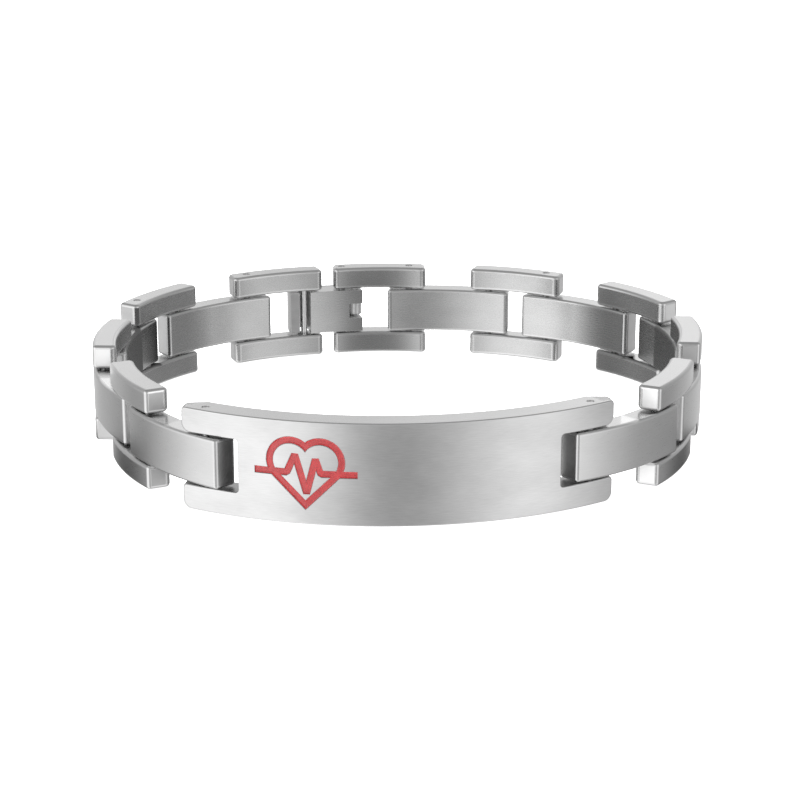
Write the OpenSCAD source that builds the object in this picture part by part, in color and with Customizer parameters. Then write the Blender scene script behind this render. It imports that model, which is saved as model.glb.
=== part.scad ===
// Medical alert bracelet: curved flat steel links and an identity plate, pinned into a closed oval.
// It lies on its side, on the edges of its bars, with the plate at the front (-Y) and the clasp at the back.
// Millimetres, +Z up. The origin is under the middle of the whole loop, on the surface it lies on.

/* [Bars] */
// Height of one outer bar
bar_h = 3.0; // [2.2:0.1:4.2]
// Distance between a bar's two pins
bar_pitch = 8.5; // [7.5:0.1:11]
// Metal past each pin of a bar
bar_past = 2.3; // [1.8:0.05:2.8]
// Radius that a bar is curved to
bar_curve = 30; // [24:1:60]
// Radius of a bar's inner end corners, seen from above
bar_round = 0.7; // [0.2:0.1:1.2]

/* [Centre links] */
// Height of a centre link
link_h = 6.0; // [5:0.1:7.5]
// Distance between a centre link's two pins
link_pitch = 11.4; // [10:0.1:14]
// Metal past each pin of a centre link
link_past = 2.85; // [1.8:0.05:3.2]
// Radius that a centre link is curved to
link_curve = 33; // [26:1:60]
// Radius of a centre link's inner end corners, seen from above
link_round = 0.5; // [0.2:0.05:1]
// Thickness of bars, centre links and clasp base
band_t = 3.0; // [2.4:0.1:3.6]
// Gap between pieces that lie one above the other
side_gap = 0.2; // [0.1:0.05:0.3]

/* [Identity plate] */
// Height of the plate
plate_h = 12.3; // [10:0.1:14]
// Thickness of the plate
plate_t = 3.2; // [2.6:0.1:3.8]
// Distance of the plate's outer face from the middle of its pins
plate_skin = 1.25; // [1:0.05:1.6]
// Distance between the plate's two pins, in a straight line
plate_pitch = 44.3; // [38:0.1:50]
// Radius that the plate is curved to, where its pins are
plate_curve = 43.2; // [34:0.2:60]
// Metal past each pin of the plate
plate_past = 2.55; // [1.6:0.05:3]
// Turn of the plate's end faces from straight back, towards the middle of the circle that it is curved to
plate_end_turn = 12; // [6:1:26]
// Gap between a centre link's end and the floor of the plate's fork
fork_gap = 1.9; // [0.6:0.1:2.5]
// Radius of the corners in the fork's floor
fork_round = 0.4; // [0.2:0.1:0.8]
// Radius of the upper corners of a fork's horns
horn_round_top = 0.5; // [0.2:0.1:0.9]
// Radius of the lower corners of a fork's horns
horn_round_low = 1.1; // [0.3:0.1:1.2]
// Radius of the plate's inner end corners, seen from above
plate_round = 2.2; // [0.4:0.1:2.4]

/* [Engraved motif] */
// Width of the heart, to the middle of its line
heart_w = 8.4; // [6:0.2:8.6]
// Length of the pulse line that crosses the heart
pulse_w = 12.0; // [10:0.2:14]
// Height of the pulse line's beat
pulse_h = 4.8; // [2.5:0.1:5.2]
// Width of the engraved line
line_w = 0.8; // [0.5:0.05:1]
// Depth of the engraving
engrave_deep = 0.4; // [0.2:0.05:0.6]
// How far the enamel lies below the plate's face
enamel_low = 0.1; // [0.02:0.02:0.15]
// Room between the enamel and the engraving's walls and floor
enamel_clear = 0.02; // [0.01:0.01:0.05]
// Distance of the motif from the plate's middle, towards its left end
motif_off = 11.0; // [9:0.2:12]

/* [Pins] */
// Diameter of the link pins
pin_d = 0.9; // [0.7:0.05:1.1]
// Room round a pin in its hole
pin_clear = 0.02; // [0.01:0.01:0.05]
// How far a pin's end lies below the edge where it shows
pin_sink = 0.12; // [0.05:0.01:0.3]
// Metal that closes a hole over a hidden pin end
pin_cap = 0.7; // [0.4:0.1:1]

/* [Clasp] */
// Distance between the caught pin and the pin that carries the clasp
clasp_pitch = 5.5; // [5:0.1:8]
// How far the clasp's pin lies nearer to its bars' ends than the other pins do
clasp_shift = 1.1; // [0:0.05:1.2]
// Gap between the caught pin and the clasp base
catch_gap = 0.25; // [0.15:0.05:0.9]
// Distance of the hinge from the pin that carries the clasp
hinge_off = 1.95; // [1.85:0.05:2.6]
// Metal of the base past the hinge, and the radius of its outer corner there
hinge_past = 0.7; // [0.6:0.05:1.1]
// Depth of the hinge below the base's outer face
hinge_deep = 1.4; // [1.2:0.05:1.7]
// Radius of the cover's knuckle
knuckle_r = 0.95; // [0.7:0.05:1]
// Height of the cover's knuckle
knuckle_h = 1.7; // [1.2:0.1:2.4]
// Room round the knuckle in the base
knuckle_gap = 0.2; // [0.1:0.05:0.3]
// How far the tongue from the knuckle to the cover reaches past the hinge
tongue_past = 0.3; // [0.2:0.05:0.4]
// Diameter of the hinge pin
hinge_d = 0.7; // [0.5:0.05:0.8]
// Room round the hinge pin in the cover's knuckle
hinge_clear = 0.04; // [0.02:0.01:0.08]
// Thickness of the cover
cover_t = 0.65; // [0.5:0.05:0.9]
// Gap between the cover and the base
cover_gap = 0.2; // [0.15:0.05:0.35]
// How far the cover's edges lie inside the height of a centre link
cover_inset = 0.05; // [0:0.05:0.4]
// Thickness of the hook at the cover's free end
hook_t = 1.4; // [0.8:0.1:1.8]
// Gap between the hook and the caught pin
hook_gap = 0.35; // [0.2:0.05:0.5]
// How far the hook reaches past the middle of the caught pin
hook_past = 0.9; // [0.4:0.05:1.3]

/* [Hidden] */
// Round shapes are true circles, and this is their fineness in a preview
$fn = 96;
// How far a cutting shape runs past what it cuts
over = 1;
// How far the circle of a rounded edge passes over the faces that it joins, so that it crosses them cleanly
round_rise = 0.005;

// The loop, one row for each step from pin to pin, clockwise as seen from above, from the plate's left pin.
// KIND is what spans the step. REACH is how far out its far pin lies, as a share of the loop's mean radius.
// SHOWS says whether the far pin's ends can be seen on the edges.
KIND = 0;
REACH = 1;
SHOWS = 2;
STEPS = [
    ["link", 0.960, false],
    ["pair", 0.930, false],
    ["link", 0.945, false],
    ["pair", 0.935, false],
    ["link", 0.980, true],
    ["pair", 0.975, false],
    ["link", 0.950, true],
    ["pair", 0.935, false],
    ["clasp", 0.935, true],
    ["clasp pair", 0.940, true],
    ["link", 0.990, false],
    ["pair", 1.030, true],
    ["link", 1.085, false],
    ["pair", 1.115, false],
    ["link", 1.085, false],
    ["pair", 1.065, false],
    ["link", 1.060, false],
    ["pair", 1.070, false],
    ["link", 1.030, true],
    ["plate", 1.000, true]
];
step_count = len(STEPS);
link_steps = [for (k = [0:step_count - 1]) if (STEPS[k][KIND] == "link") k];
pair_steps = [for (k = [0:step_count - 1]) if (STEPS[k][KIND] == "pair" || STEPS[k][KIND] == "clasp pair") k];
clasp_step = [for (k = [0:step_count - 1]) if (STEPS[k][KIND] == "clasp") k][0];
plate_step = step_count - 1;

// Heights
fork_h = link_h + 2 * side_gap;
pair_h = fork_h + 2 * bar_h;
mid_z = max(pair_h, plate_h) / 2;
link_z = mid_z - link_h / 2;
lower_bar_z = mid_z - pair_h / 2;
upper_bar_z = mid_z + fork_h / 2;
plate_z = mid_z - plate_h / 2;
cover_h = link_h - 2 * cover_inset;

// Clasp, in its own step's frame: X along the step, Y outwards
caught_x = -clasp_pitch / 2;
carrier_x = clasp_pitch / 2;
hinge_x = carrier_x + hinge_off;
hinge_y = band_t / 2 - hinge_deep;
base_start = caught_x + pin_d / 2 + catch_gap;
base_end = hinge_x + hinge_past;
hook_in = norm([hinge_x - caught_x, hinge_y]) + pin_d / 2 + hook_gap;
hook_out = hook_in + hook_t;
cover_reach = hook_out - hinge_x;
cover_in = link_curve + band_t / 2 + cover_gap;
cover_out = cover_in + cover_t;
tongue_top = hinge_deep + cover_gap + cover_t / 2;

// Pitch and curve of each kind of step
function pitch(k) =
    STEPS[k][KIND] == "link" ? link_pitch
    : STEPS[k][KIND] == "pair" ? bar_pitch
    : STEPS[k][KIND] == "clasp pair" ? bar_pitch + clasp_shift
    : STEPS[k][KIND] == "clasp" ? clasp_pitch
    : plate_pitch;
function curve(k) =
    STEPS[k][KIND] == "plate" ? plate_curve
    : STEPS[k][KIND] == "link" || STEPS[k][KIND] == "clasp" ? link_curve
    : bar_curve;
function past_start(k) =
    STEPS[k][KIND] == "link" ? link_past
    : STEPS[k][KIND] == "pair" ? bar_past
    : STEPS[k][KIND] == "clasp pair" ? bar_past - clasp_shift
    : STEPS[k][KIND] == "clasp" ? cover_reach - clasp_pitch / 2
    : plate_past;
function past_end(k) =
    STEPS[k][KIND] == "link" ? link_past
    : STEPS[k][KIND] == "clasp" ? hinge_off
    : STEPS[k][KIND] == "plate" ? plate_past
    : bar_past;
// Distance from a step's straight line to the middle of the circle that it is curved to
function sink(k) = sqrt(pow(curve(k), 2) - pow(pitch(k) / 2, 2));

// The loop closes: a triangle rule turns each pitch into an angle about the loop's middle,
// and the mean radius is the one at which all these angles make a full turn.
function pin_share(i) = STEPS[(i + step_count - 1) % step_count][REACH];
function step_turn(k, mean) =
    let (a = pin_share(k) * mean, b = pin_share(k + 1) * mean)
    acos((a * a + b * b - pow(pitch(k), 2)) / (2 * a * b));
function whole_turn(mean, k = 0) = k == step_count ? 0 : step_turn(k, mean) + whole_turn(mean, k + 1);
function closing_radius(low, high, tries) =
    tries == 0 ? (low + high) / 2
    : whole_turn((low + high) / 2) > 360 ? closing_radius((low + high) / 2, high, tries - 1)
    : closing_radius(low, (low + high) / 2, tries - 1);
function loop_length(k = 0) = k == step_count ? 0 : pitch(k) + loop_length(k + 1);
radius_guess = loop_length() / (2 * PI);
radius_spread = 0.25;
halvings = 40;
mean_radius = closing_radius(
    radius_guess * (1 - radius_spread), radius_guess * (1 + radius_spread), halvings
);

// Pins in the loop, then turned so that the plate lies along X
pin_angles = [
    for (i = 0, a = step_turn(plate_step, mean_radius) / 2; i < step_count;
         a = a + step_turn(i, mean_radius), i = i + 1) a
];
round_pins = [
    for (i = [0:step_count - 1]) -pin_share(i) * mean_radius * [sin(pin_angles[i]), cos(pin_angles[i])]
];
function heading(from, to) = atan2(to[1] - from[1], to[0] - from[0]);
function turned(p, a) = [p[0] * cos(a) - p[1] * sin(a), p[0] * sin(a) + p[1] * cos(a)];
plate_lean = 180 - heading(round_pins[plate_step], round_pins[0]);
pins = [for (p = round_pins) turned(p, plate_lean)];

// Place of a step: the middle between its pins, and the heading from one to the other
function next(i) = (i + 1) % step_count;
function step_mid(k) = (pins[k] + pins[next(k)]) / 2;
function step_heading(k) = heading(pins[k], pins[next(k)]);

// How far the loop reaches along a direction, given as an angle from +X
function outer_radius(k) = curve(k) + (k == clasp_step ? band_t / 2 + cover_gap + cover_t
    : k == plate_step ? plate_skin : band_t / 2);
function clamped(a, low, high) = max(low, min(high, a));
function within_half_turn(a) = a > 180 ? a - 360 : a <= -180 ? a + 360 : a;
function step_reach(k, dir) =
    let (
        out_dir = step_heading(k) + 90,
        arc_mid = step_mid(k) - sink(k) * [cos(out_dir), sin(out_dir)],
        start = asin((pitch(k) / 2 + past_start(k)) / outer_radius(k)),
        end = asin((pitch(k) / 2 + past_end(k)) / outer_radius(k)),
        best = clamped(within_half_turn((dir - out_dir) % 360), -end, start)
    )
    arc_mid[0] * cos(dir) + arc_mid[1] * sin(dir) + outer_radius(k) * cos(out_dir + best - dir);
function loop_reach(dir) = max([for (k = [0:step_count - 1]) step_reach(k, dir)]);
loop_mid = [(loop_reach(0) - loop_reach(180)) / 2, (loop_reach(90) - loop_reach(270)) / 2];

// Places a shape drawn in a step's own frame, with X along the step and Y outwards
module on_step(k) {
    mid = step_mid(k) - loop_mid;
    translate([mid[0], mid[1], 0]) rotate([0, 0, step_heading(k)]) children();
}

// Places a shape drawn about the middle of the circle that a step is curved to
module about_arc(k) {
    translate([0, -sink(k), 0]) children();
}

// A ring between two radii
module ring(inner, outer, h) {
    difference() {
        cylinder(h = h, r = outer);
        translate([0, 0, -over]) cylinder(h = h + 2 * over, r = inner);
    }
}

// What rounds the corner between the inside of a ring and a straight end at x = end_x.
// side is 1 for the end towards +X and -1 for the other.
module inner_corner(ring_r, end_x, side, r, h) {
    fillet_x = end_x - side * r;
    fillet_y = sqrt(pow(ring_r + r, 2) - pow(fillet_x, 2));
    on_ring = [fillet_x, fillet_y] * ring_r / (ring_r + r);
    corner_y = sqrt(pow(ring_r, 2) - pow(end_x, 2));
    translate([0, 0, -over]) difference() {
        linear_extrude(h + 2 * over)
            polygon([[fillet_x, fillet_y], [end_x, fillet_y], [end_x + side * r, corner_y - r], on_ring]);
        translate([fillet_x, fillet_y, -over]) cylinder(h = h + 4 * over, r = r + round_rise);
    }
}

// What rounds an edge along Y at the origin, with the metal towards -X and -Z
module edge_cut(r, length) {
    difference() {
        translate([-r, -length / 2, -r]) cube([r + over, length, r + over]);
        translate([-r, 0, -r]) rotate([90, 0, 0])
            cylinder(h = length + 2 * over, r = r + round_rise, center = true);
    }
}

// A curved strip with straight ends and rounded inner corners, standing on z = 0
module curved_strip(k, h, round_r) {
    start_x = -pitch(k) / 2 - past_start(k);
    end_x = pitch(k) / 2 + past_end(k);
    inner = curve(k) - band_t / 2;
    outer = curve(k) + band_t / 2;
    about_arc(k) difference() {
        intersection() {
            ring(inner, outer, h);
            translate([start_x, 0, -over]) cube([end_x - start_x, outer + over, h + 2 * over]);
        }
        inner_corner(inner, start_x, -1, round_r, h);
        inner_corner(inner, end_x, 1, round_r, h);
    }
}

// Holes for the two pins of a step
module pin_holes(k, from_z, to_z) {
    for (side = [-1, 1])
        translate([side * pitch(k) / 2, 0, from_z]) cylinder(h = to_z - from_z, d = pin_d + 2 * pin_clear);
}

// Holes in a bar whose outer edge is at z = 0:
// closed there over a hidden pin, right through over one that shows
module bar_holes(k) {
    for (end = [0, 1])
        translate([(end - 0.5) * pitch(k), 0, pin_shows(k + end) ? -over : pin_cap])
            cylinder(h = bar_h + 2 * over, d = pin_d + 2 * pin_clear);
}
function pin_shows(i) = STEPS[(i + step_count - 1) % step_count][SHOWS];

module centre_link(i) {
    k = link_steps[i - 1];
    color("silver") on_step(k) translate([0, 0, link_z]) difference() {
        curved_strip(k, link_h, link_round);
        pin_holes(k, -over, link_h + over);
    }
}

module bar_lower(i) {
    k = pair_steps[i - 1];
    color("gainsboro") on_step(k) translate([0, 0, lower_bar_z]) difference() {
        curved_strip(k, bar_h, bar_round);
        bar_holes(k);
    }
}

module bar_upper(i) {
    k = pair_steps[i - 1];
    color("gainsboro") on_step(k) translate([0, 0, upper_bar_z + bar_h]) difference() {
        translate([0, 0, -bar_h]) curved_strip(k, bar_h, bar_round);
        mirror([0, 0, 1]) bar_holes(k);
    }
}

// The pins of the plate run through the plate's height, the others through a pair of bars
function plate_pin(i) = i == 0 || i == plate_step;
function pin_half(i) =
    plate_pin(i) ? plate_h / 2 - pin_sink
    : pin_shows(i) ? pair_h / 2 - pin_sink
    : pair_h / 2 - pin_cap - pin_clear;

module link_pin(i) {
    at = pins[i - 1] - loop_mid;
    color("darkgray") translate([at[0], at[1], mid_z])
        cylinder(h = 2 * pin_half(i - 1), d = pin_d, center = true);
}

// The plate's own frame has the middle of its circle at the origin
plate_out = plate_curve + plate_skin;
plate_in = plate_out - plate_t;
function arc_angle(along, r) = along / r * 180 / PI;
plate_pin_angle = asin(plate_pitch / 2 / plate_curve);
plate_end_angle = plate_pin_angle + arc_angle(plate_past, plate_curve);
end_corner = plate_out * [sin(plate_end_angle), cos(plate_end_angle)];
// In the frame that is turned to the +X end face, the face lies at face_x, and reaches from face_in to face_out
face_x = plate_out * sin(plate_end_angle - plate_end_turn);
face_out = plate_out * cos(plate_end_angle - plate_end_turn);
face_in = sqrt(pow(plate_in, 2) - pow(face_x, 2));
motif_angle = arc_angle(motif_off, plate_out);

// The fork's slot at the +X end, in a frame that is turned to the pin there
module fork_slot() {
    slot_start = -link_past - fork_gap;
    slot_end = plate_past + plate_t + over;
    depth = plate_t + 4 * over;
    translate([0, plate_curve, mid_z]) {
        translate([slot_start + fork_round, -depth / 2, -fork_h / 2])
            cube([slot_end - slot_start - fork_round, depth, fork_h]);
        translate([slot_start, -depth / 2, -fork_h / 2 + fork_round])
            cube([2 * fork_round, depth, fork_h - 2 * fork_round]);
        for (up = [-1, 1])
            translate([slot_start + fork_round, 0, up * (fork_h / 2 - fork_round)])
                rotate([90, 0, 0]) cylinder(h = depth, r = fork_round, center = true);
    }
}

// What rounds the four corners of the two horns at the +X end, in the frame that is turned to its end face
module horn_corners() {
    depth = face_out - face_in + 2 * over;
    translate([face_x, (face_in + face_out) / 2, 0]) {
        translate([0, 0, plate_z + plate_h]) edge_cut(horn_round_top, depth);
        translate([0, 0, plate_z]) mirror([0, 0, 1]) edge_cut(horn_round_low, depth);
        translate([0, 0, mid_z - fork_h / 2]) edge_cut(horn_round_top, depth);
        translate([0, 0, mid_z + fork_h / 2]) mirror([0, 0, 1]) edge_cut(horn_round_low, depth);
    }
}

// The plate as a curved bar between its two end faces
module plate_bar() {
    high = plate_out + over;
    low = plate_in * cos(plate_end_angle) / 2;
    function half_w(y) = end_corner[0] - (end_corner[1] - y) * tan(plate_end_turn);
    translate([0, 0, plate_z]) intersection() {
        ring(plate_in, plate_out, plate_h);
        translate([0, 0, -over]) linear_extrude(plate_h + 2 * over)
            polygon([[-half_w(low), low], [half_w(low), low], [half_w(high), high], [-half_w(high), high]]);
    }
}

// A heart's outline, grown by g: two round lobes over the lower corner of a square that stands on its tip
lobe = heart_w / (2 + sqrt(2));
lobe_side = lobe / sqrt(2);
lobe_steps = 20;
function lobe_points(r) =
    let (first = -45, last = acos(-lobe_side / r))
    [for (j = [0:lobe_steps]) let (a = first + (last - first) * j / lobe_steps)
        [lobe_side + r * cos(a), lobe_side + r * sin(a)]];
function heart_points(g) =
    let (right = lobe_points(lobe + g))
    concat(
        [[0, -(lobe + g) * sqrt(2)]], right,
        [for (j = [lobe_steps - 1:-1:0]) [-right[j][0], right[j][1]]]
    );

// The pulse line: along, up. Along is a share of half its width, up a share of the beat's height.
BEAT = [[-1, 0], [-0.36, 0], [-0.2, 0.45], [0.02, -0.5], [0.2, 0.36], [0.3, 0], [1, 0]];
beat_points = [for (b = BEAT) [b[0] * pulse_w / 2, b[1] * pulse_h]];
function beat_normal(i) =
    let (j = max(0, min(len(beat_points) - 2, i)), d = beat_points[j + 1] - beat_points[j])
    [-d[1], d[0]] / norm(d);
// Points beside bend i on one side of the line: one on the inside of the bend, two on its outside
function beside(i, side, half_w) =
    let (
        before = beat_normal(i - 1),
        after = beat_normal(i),
        bend = before[0] * after[1] - before[1] * after[0],
        at = beat_points[i]
    )
    bend * side < 0 ? [at + side * half_w * before, at + side * half_w * after]
    : [at + side * half_w * (before + after) / (1 + before * after)];
function reversed(list) = [for (i = [len(list) - 1:-1:0]) list[i]];
function line_side(side, w) = [for (i = [0:len(beat_points) - 1]) each beside(i, side, w / 2)];
function pulse_points(w) = concat(line_side(1, w), reversed(line_side(-1, w)));

// The motif as a line of width w, pushed through the plate from inside radius to outside radius
module motif(w, inner, outer) {
    heart_low = (lobe_side + lobe - lobe * sqrt(2)) / 2;
    depth = plate_t + over;
    intersection() {
        translate([0, 0, plate_z]) ring(inner, outer, plate_h);
        rotate([0, 0, -motif_angle]) translate([0, plate_in, mid_z]) rotate([90, 0, 180]) union() {
            translate([0, -heart_low, 0]) difference() {
                linear_extrude(depth) polygon(heart_points(w / 2));
                translate([0, 0, -over]) linear_extrude(depth + 2 * over) polygon(heart_points(-w / 2));
            }
            linear_extrude(depth) polygon(pulse_points(w));
        }
    }
}

module id_plate() {
    color("silver") on_step(plate_step) about_arc(plate_step) difference() {
        plate_bar();
        for (side = [0, 1]) mirror([side, 0, 0]) {
            rotate([0, 0, -plate_pin_angle]) {
                fork_slot();
                translate([0, plate_curve, plate_z - over])
                    cylinder(h = plate_h + 2 * over, d = pin_d + 2 * pin_clear);
            }
            rotate([0, 0, -plate_end_turn]) {
                horn_corners();
                translate([0, 0, plate_z]) inner_corner(plate_in, face_x, 1, plate_round, plate_h);
            }
        }
        motif(line_w, plate_out - engrave_deep, plate_out + over);
    }
}

// The enamel fills the engraving up to just below the plate's face
module alert_enamel() {
    color("firebrick") on_step(plate_step) about_arc(plate_step)
        motif(line_w - 2 * enamel_clear, plate_out - engrave_deep + enamel_clear, plate_out - enamel_low);
}

// The base is the clasp's inner leaf: pinned at one end, forked for the hinge at the other
module clasp_base() {
    notch_h = knuckle_h + 2 * knuckle_gap;
    notch_start = hinge_x - knuckle_r - knuckle_gap;
    color("silver") on_step(clasp_step) translate([0, 0, link_z]) difference() {
        about_arc(clasp_step) intersection() {
            ring(link_curve - band_t / 2, link_curve + band_t / 2, link_h);
            translate([base_start, 0, -over])
                cube([base_end - base_start, link_curve + band_t, link_h + 2 * over]);
        }
        translate([carrier_x, 0, -over]) cylinder(h = link_h + 2 * over, d = pin_d + 2 * pin_clear);
        translate([hinge_x, hinge_y, -over]) cylinder(h = link_h + 2 * over, d = hinge_d + 2 * pin_clear);
        translate([notch_start, -band_t, link_h / 2 - notch_h / 2])
            cube([base_end - notch_start + over, 2 * band_t, notch_h]);
        translate([hinge_x, band_t / 2 - hinge_past, -over]) difference() {
            cube([hinge_past + over, hinge_past + over, link_h + 2 * over]);
            translate([0, 0, -over]) cylinder(h = link_h + 4 * over, r = hinge_past);
        }
    }
}

// The cover is the clasp's outer leaf: a thin curved sheet, a hook past the caught pin
// and a knuckle on the hinge
module clasp_cover() {
    color("lightgray") on_step(clasp_step) translate([0, 0, mid_z - cover_h / 2]) difference() {
        union() {
            intersection() {
                about_arc(clasp_step) ring(cover_in, cover_out, cover_h);
                translate([hinge_x, hinge_y, -over]) cylinder(h = cover_h + 2 * over, r = hook_out);
                translate([hinge_x - hook_out, 0, -over]) cube([hook_out, 2 * hook_out, cover_h + 2 * over]);
            }
            intersection() {
                translate([hinge_x, hinge_y, 0]) ring(hook_in, hook_out, cover_h);
                about_arc(clasp_step) cylinder(h = cover_h, r = (cover_in + cover_out) / 2);
                translate([hinge_x - hook_out, -hook_past, -over])
                    cube([hook_out, 2 * hook_out, cover_h + 2 * over]);
            }
            translate([hinge_x, hinge_y, cover_h / 2 - knuckle_h / 2]) {
                cylinder(h = knuckle_h, r = knuckle_r);
                translate([-knuckle_r, 0, 0])
                    cube([knuckle_r + tongue_past, tongue_top, knuckle_h]);
            }
        }
        translate([hinge_x, hinge_y, -over]) cylinder(h = cover_h + 2 * over, d = hinge_d + 2 * hinge_clear);
    }
}

module clasp_hinge_pin() {
    color("darkgray") on_step(clasp_step) translate([hinge_x, hinge_y, link_z + pin_sink])
        cylinder(h = link_h - 2 * pin_sink, d = hinge_d);
}

id_plate();
alert_enamel();
for (i = [1:len(link_steps)]) centre_link(i);
for (i = [1:len(pair_steps)]) bar_upper(i);
for (i = [1:len(pair_steps)]) bar_lower(i);
for (i = [1:step_count]) link_pin(i);
clasp_base();
clasp_cover();
clasp_hinge_pin();
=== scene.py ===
import math

import bpy
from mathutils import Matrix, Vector
from mathutils.geometry import delaunay_2d_cdt, tessellate_polygon


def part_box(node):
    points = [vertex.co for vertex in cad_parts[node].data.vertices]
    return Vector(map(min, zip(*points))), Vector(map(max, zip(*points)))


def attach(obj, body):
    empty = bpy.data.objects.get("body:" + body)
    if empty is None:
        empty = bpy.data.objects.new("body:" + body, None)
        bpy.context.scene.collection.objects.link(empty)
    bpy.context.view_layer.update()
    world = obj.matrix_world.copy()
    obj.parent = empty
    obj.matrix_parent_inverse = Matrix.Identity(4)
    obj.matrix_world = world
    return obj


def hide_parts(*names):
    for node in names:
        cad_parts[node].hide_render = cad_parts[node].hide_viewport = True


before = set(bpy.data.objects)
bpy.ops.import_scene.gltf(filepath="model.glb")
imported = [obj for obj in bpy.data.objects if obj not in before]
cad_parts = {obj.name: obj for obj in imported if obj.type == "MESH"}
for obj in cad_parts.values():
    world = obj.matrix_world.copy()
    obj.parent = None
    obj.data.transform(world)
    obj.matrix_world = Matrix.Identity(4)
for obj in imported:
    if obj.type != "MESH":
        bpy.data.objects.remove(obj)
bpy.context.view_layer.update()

# Lengths are in millimetres until a mesh is made.
MM = 0.001

# Sizes, as in the CAD model
BAND_T = 3.0
LINK_PAST, LINK_CURVE, LINK_ROUND = 2.85, 33.0, 0.5
BAR_PAST, BAR_CURVE, BAR_ROUND = 2.3, 30.0, 0.7
CLASP_SHIFT = 1.1
PLATE_T, PLATE_SKIN, PLATE_CURVE, PLATE_PAST, PLATE_ROUND = 3.2, 1.25, 43.2, 2.55, 2.2
END_TURN = math.radians(12)
FORK_GAP, FORK_ROUND, FORK_CLEAR = 1.9, 0.4, 0.2
HORN_TOP, HORN_LOW = 0.5, 1.1
PIN_R, HOLE_R, PIN_ROOM = 0.45, 0.47, 0.02
HEART_W, PULSE_W, PULSE_H, LINE_W, MOTIF_OFF = 8.4, 12.0, 4.8, 0.8, 11.0
ENGRAVE_DEEP, ENAMEL_CLEAR = 0.4, 0.02
CLASP_PITCH, CATCH_GAP, HINGE_OFF, HINGE_PAST, HINGE_DEEP = 5.5, 0.25, 1.95, 0.7, 1.4
KNUCKLE_R, KNUCKLE_H, KNUCKLE_GAP = 0.95, 1.7, 0.2
COVER_T, COVER_GAP, HOOK_T, HOOK_GAP, HOOK_PAST, TONGUE_PAST = 0.65, 0.2, 1.4, 0.35, 0.9, 0.3

# How edges are eased
LINK_EASE, BAR_EASE, PLATE_EASE, CLASP_EASE = 0.38, 0.45, 0.18, 0.12
CORNER_R = 0.5
HOLE_BEVEL, PIN_DOME, ENGRAVE_EASE = 0.06, 0.14, 0.05
BEVEL_CUTS, BEVEL_ANGLE = 3, 35

# How many pieces each curve is cut into
EASE_CUTS, ROUND_CUTS, CORNER_CUTS, HORN_CUTS, LOBE_CUTS = 6, 7, 5, 8, 28
LINK_CUTS, BAR_CUTS = 26, 20
HOLE_SIDES, PIN_SIDES, KNUCKLE_CUTS = 28, 32, 26

# Points nearer than SAME are one point. NEAR and TINY are how far values that count as equal may differ.
SAME, NEAR, TINY = 1e-4, 0.01, 1e-6
# Points of a mesh are rounded to this many decimals.
DECIMALS = 4

# Finishes, in the order of each piece's material slots. The inner steel and the recess steel are darker than
# the outer steel: painted shade.
OUTER, INNER, END, SIDE, EDGE, RECESS = range(6)

# Steps of the loop, counted from the plate's left pin: centre links and pairs of bars take turns, with the
# clasp in the place of one link and a pair of bars that is shorter at its start after it
PINS = 20
CLASP_STEP, CLASP_PAIR = 8, 9
LINK_STEPS = [k for k in range(0, PINS - 1, 2) if k != CLASP_STEP]
PAIR_STEPS = range(1, PINS - 1, 2)
# Pairs of bars whose start face takes the recess steel, darkened as painted shade
SHADED_STARTS = (1, 5)
# A pin's end shows in a bar's face if it lies nearer to that face than this
PIN_SHOWS = 0.4


def node_box(node):
    low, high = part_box(node)
    return low / MM, high / MM


def pin_place(i):
    low, high = node_box(f"link_pin_{i % PINS + 1}")
    return (low + high) / 2


class Shell:
    """Faces in millimetres. Each corner has its own normal, and its place along and across the brushing."""

    def __init__(self):
        self.points, self.faces, self.normals, self.brush, self.finish = {}, [], [], [], []

    def index(self, p):
        return self.points.setdefault(tuple(round(c, DECIMALS) for c in p), len(self.points))

    def face(self, corners, finish):
        """A face from (point, normal, brush) corners, without those that fall on the one before."""
        ids = [self.index(c[0]) for c in corners]
        keep = [k for k in range(len(ids)) if ids[k] != ids[k - 1]]
        if len({ids[k] for k in keep}) < 3:
            return
        self.faces.append([ids[k] for k in keep])
        self.normals += [corners[k][1] for k in keep]
        self.brush += [corners[k][2] for k in keep]
        self.finish.append(finish)

    def flat(self, points, finish):
        """A face with one normal, from its own corners."""
        v = [Vector(p) for p in points]
        n = Vector((0, 0, 0))
        for k in range(1, len(v) - 1):
            n += (v[k] - v[0]).cross(v[k + 1] - v[0])
        n = tuple(n.normalized())
        self.face([(p, n, (p[0], p[2])) for p in points], finish)

    def mesh(self, name, own_normals=True):
        mesh = bpy.data.meshes.new(name)
        mesh.from_pydata([[c * MM for c in p] for p in self.points], [], self.faces)
        mesh.polygons.foreach_set("material_index", self.finish)
        mesh.polygons.foreach_set("use_smooth", [True] * len(self.faces))
        uv = mesh.uv_layers.new(name="brush")
        uv.data.foreach_set("uv", [c for at in self.brush for c in at])
        mesh.update()
        if own_normals:
            mesh.normals_split_custom_set(self.normals)
        return mesh


def new_object(name, data):
    made = bpy.data.objects.new(name, data)
    bpy.context.scene.collection.objects.link(made)
    return made


def add_piece(name, mesh, looks, body, node):
    """An object with these materials, in the place of a node of the CAD model."""
    for m in looks:
        mesh.materials.append(m)
    piece = new_object(name, mesh)
    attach(piece, body)
    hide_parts(node)
    return piece


# Plan outlines: points (x, y, normal x, normal y, finish of the wall that starts here)
def arc(cx, cy, r, start, end, cuts, finish, outward=1):
    """Points on a circle. Angles are in degrees, and outward is -1 where the metal is outside the circle."""
    made = []
    for j in range(cuts + 1):
        a = math.radians(start + (end - start) * j / cuts)
        c, s = math.cos(a), math.sin(a)
        made.append((cx + r * c, cy + r * s, outward * c, outward * s, finish))
    return made


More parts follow.
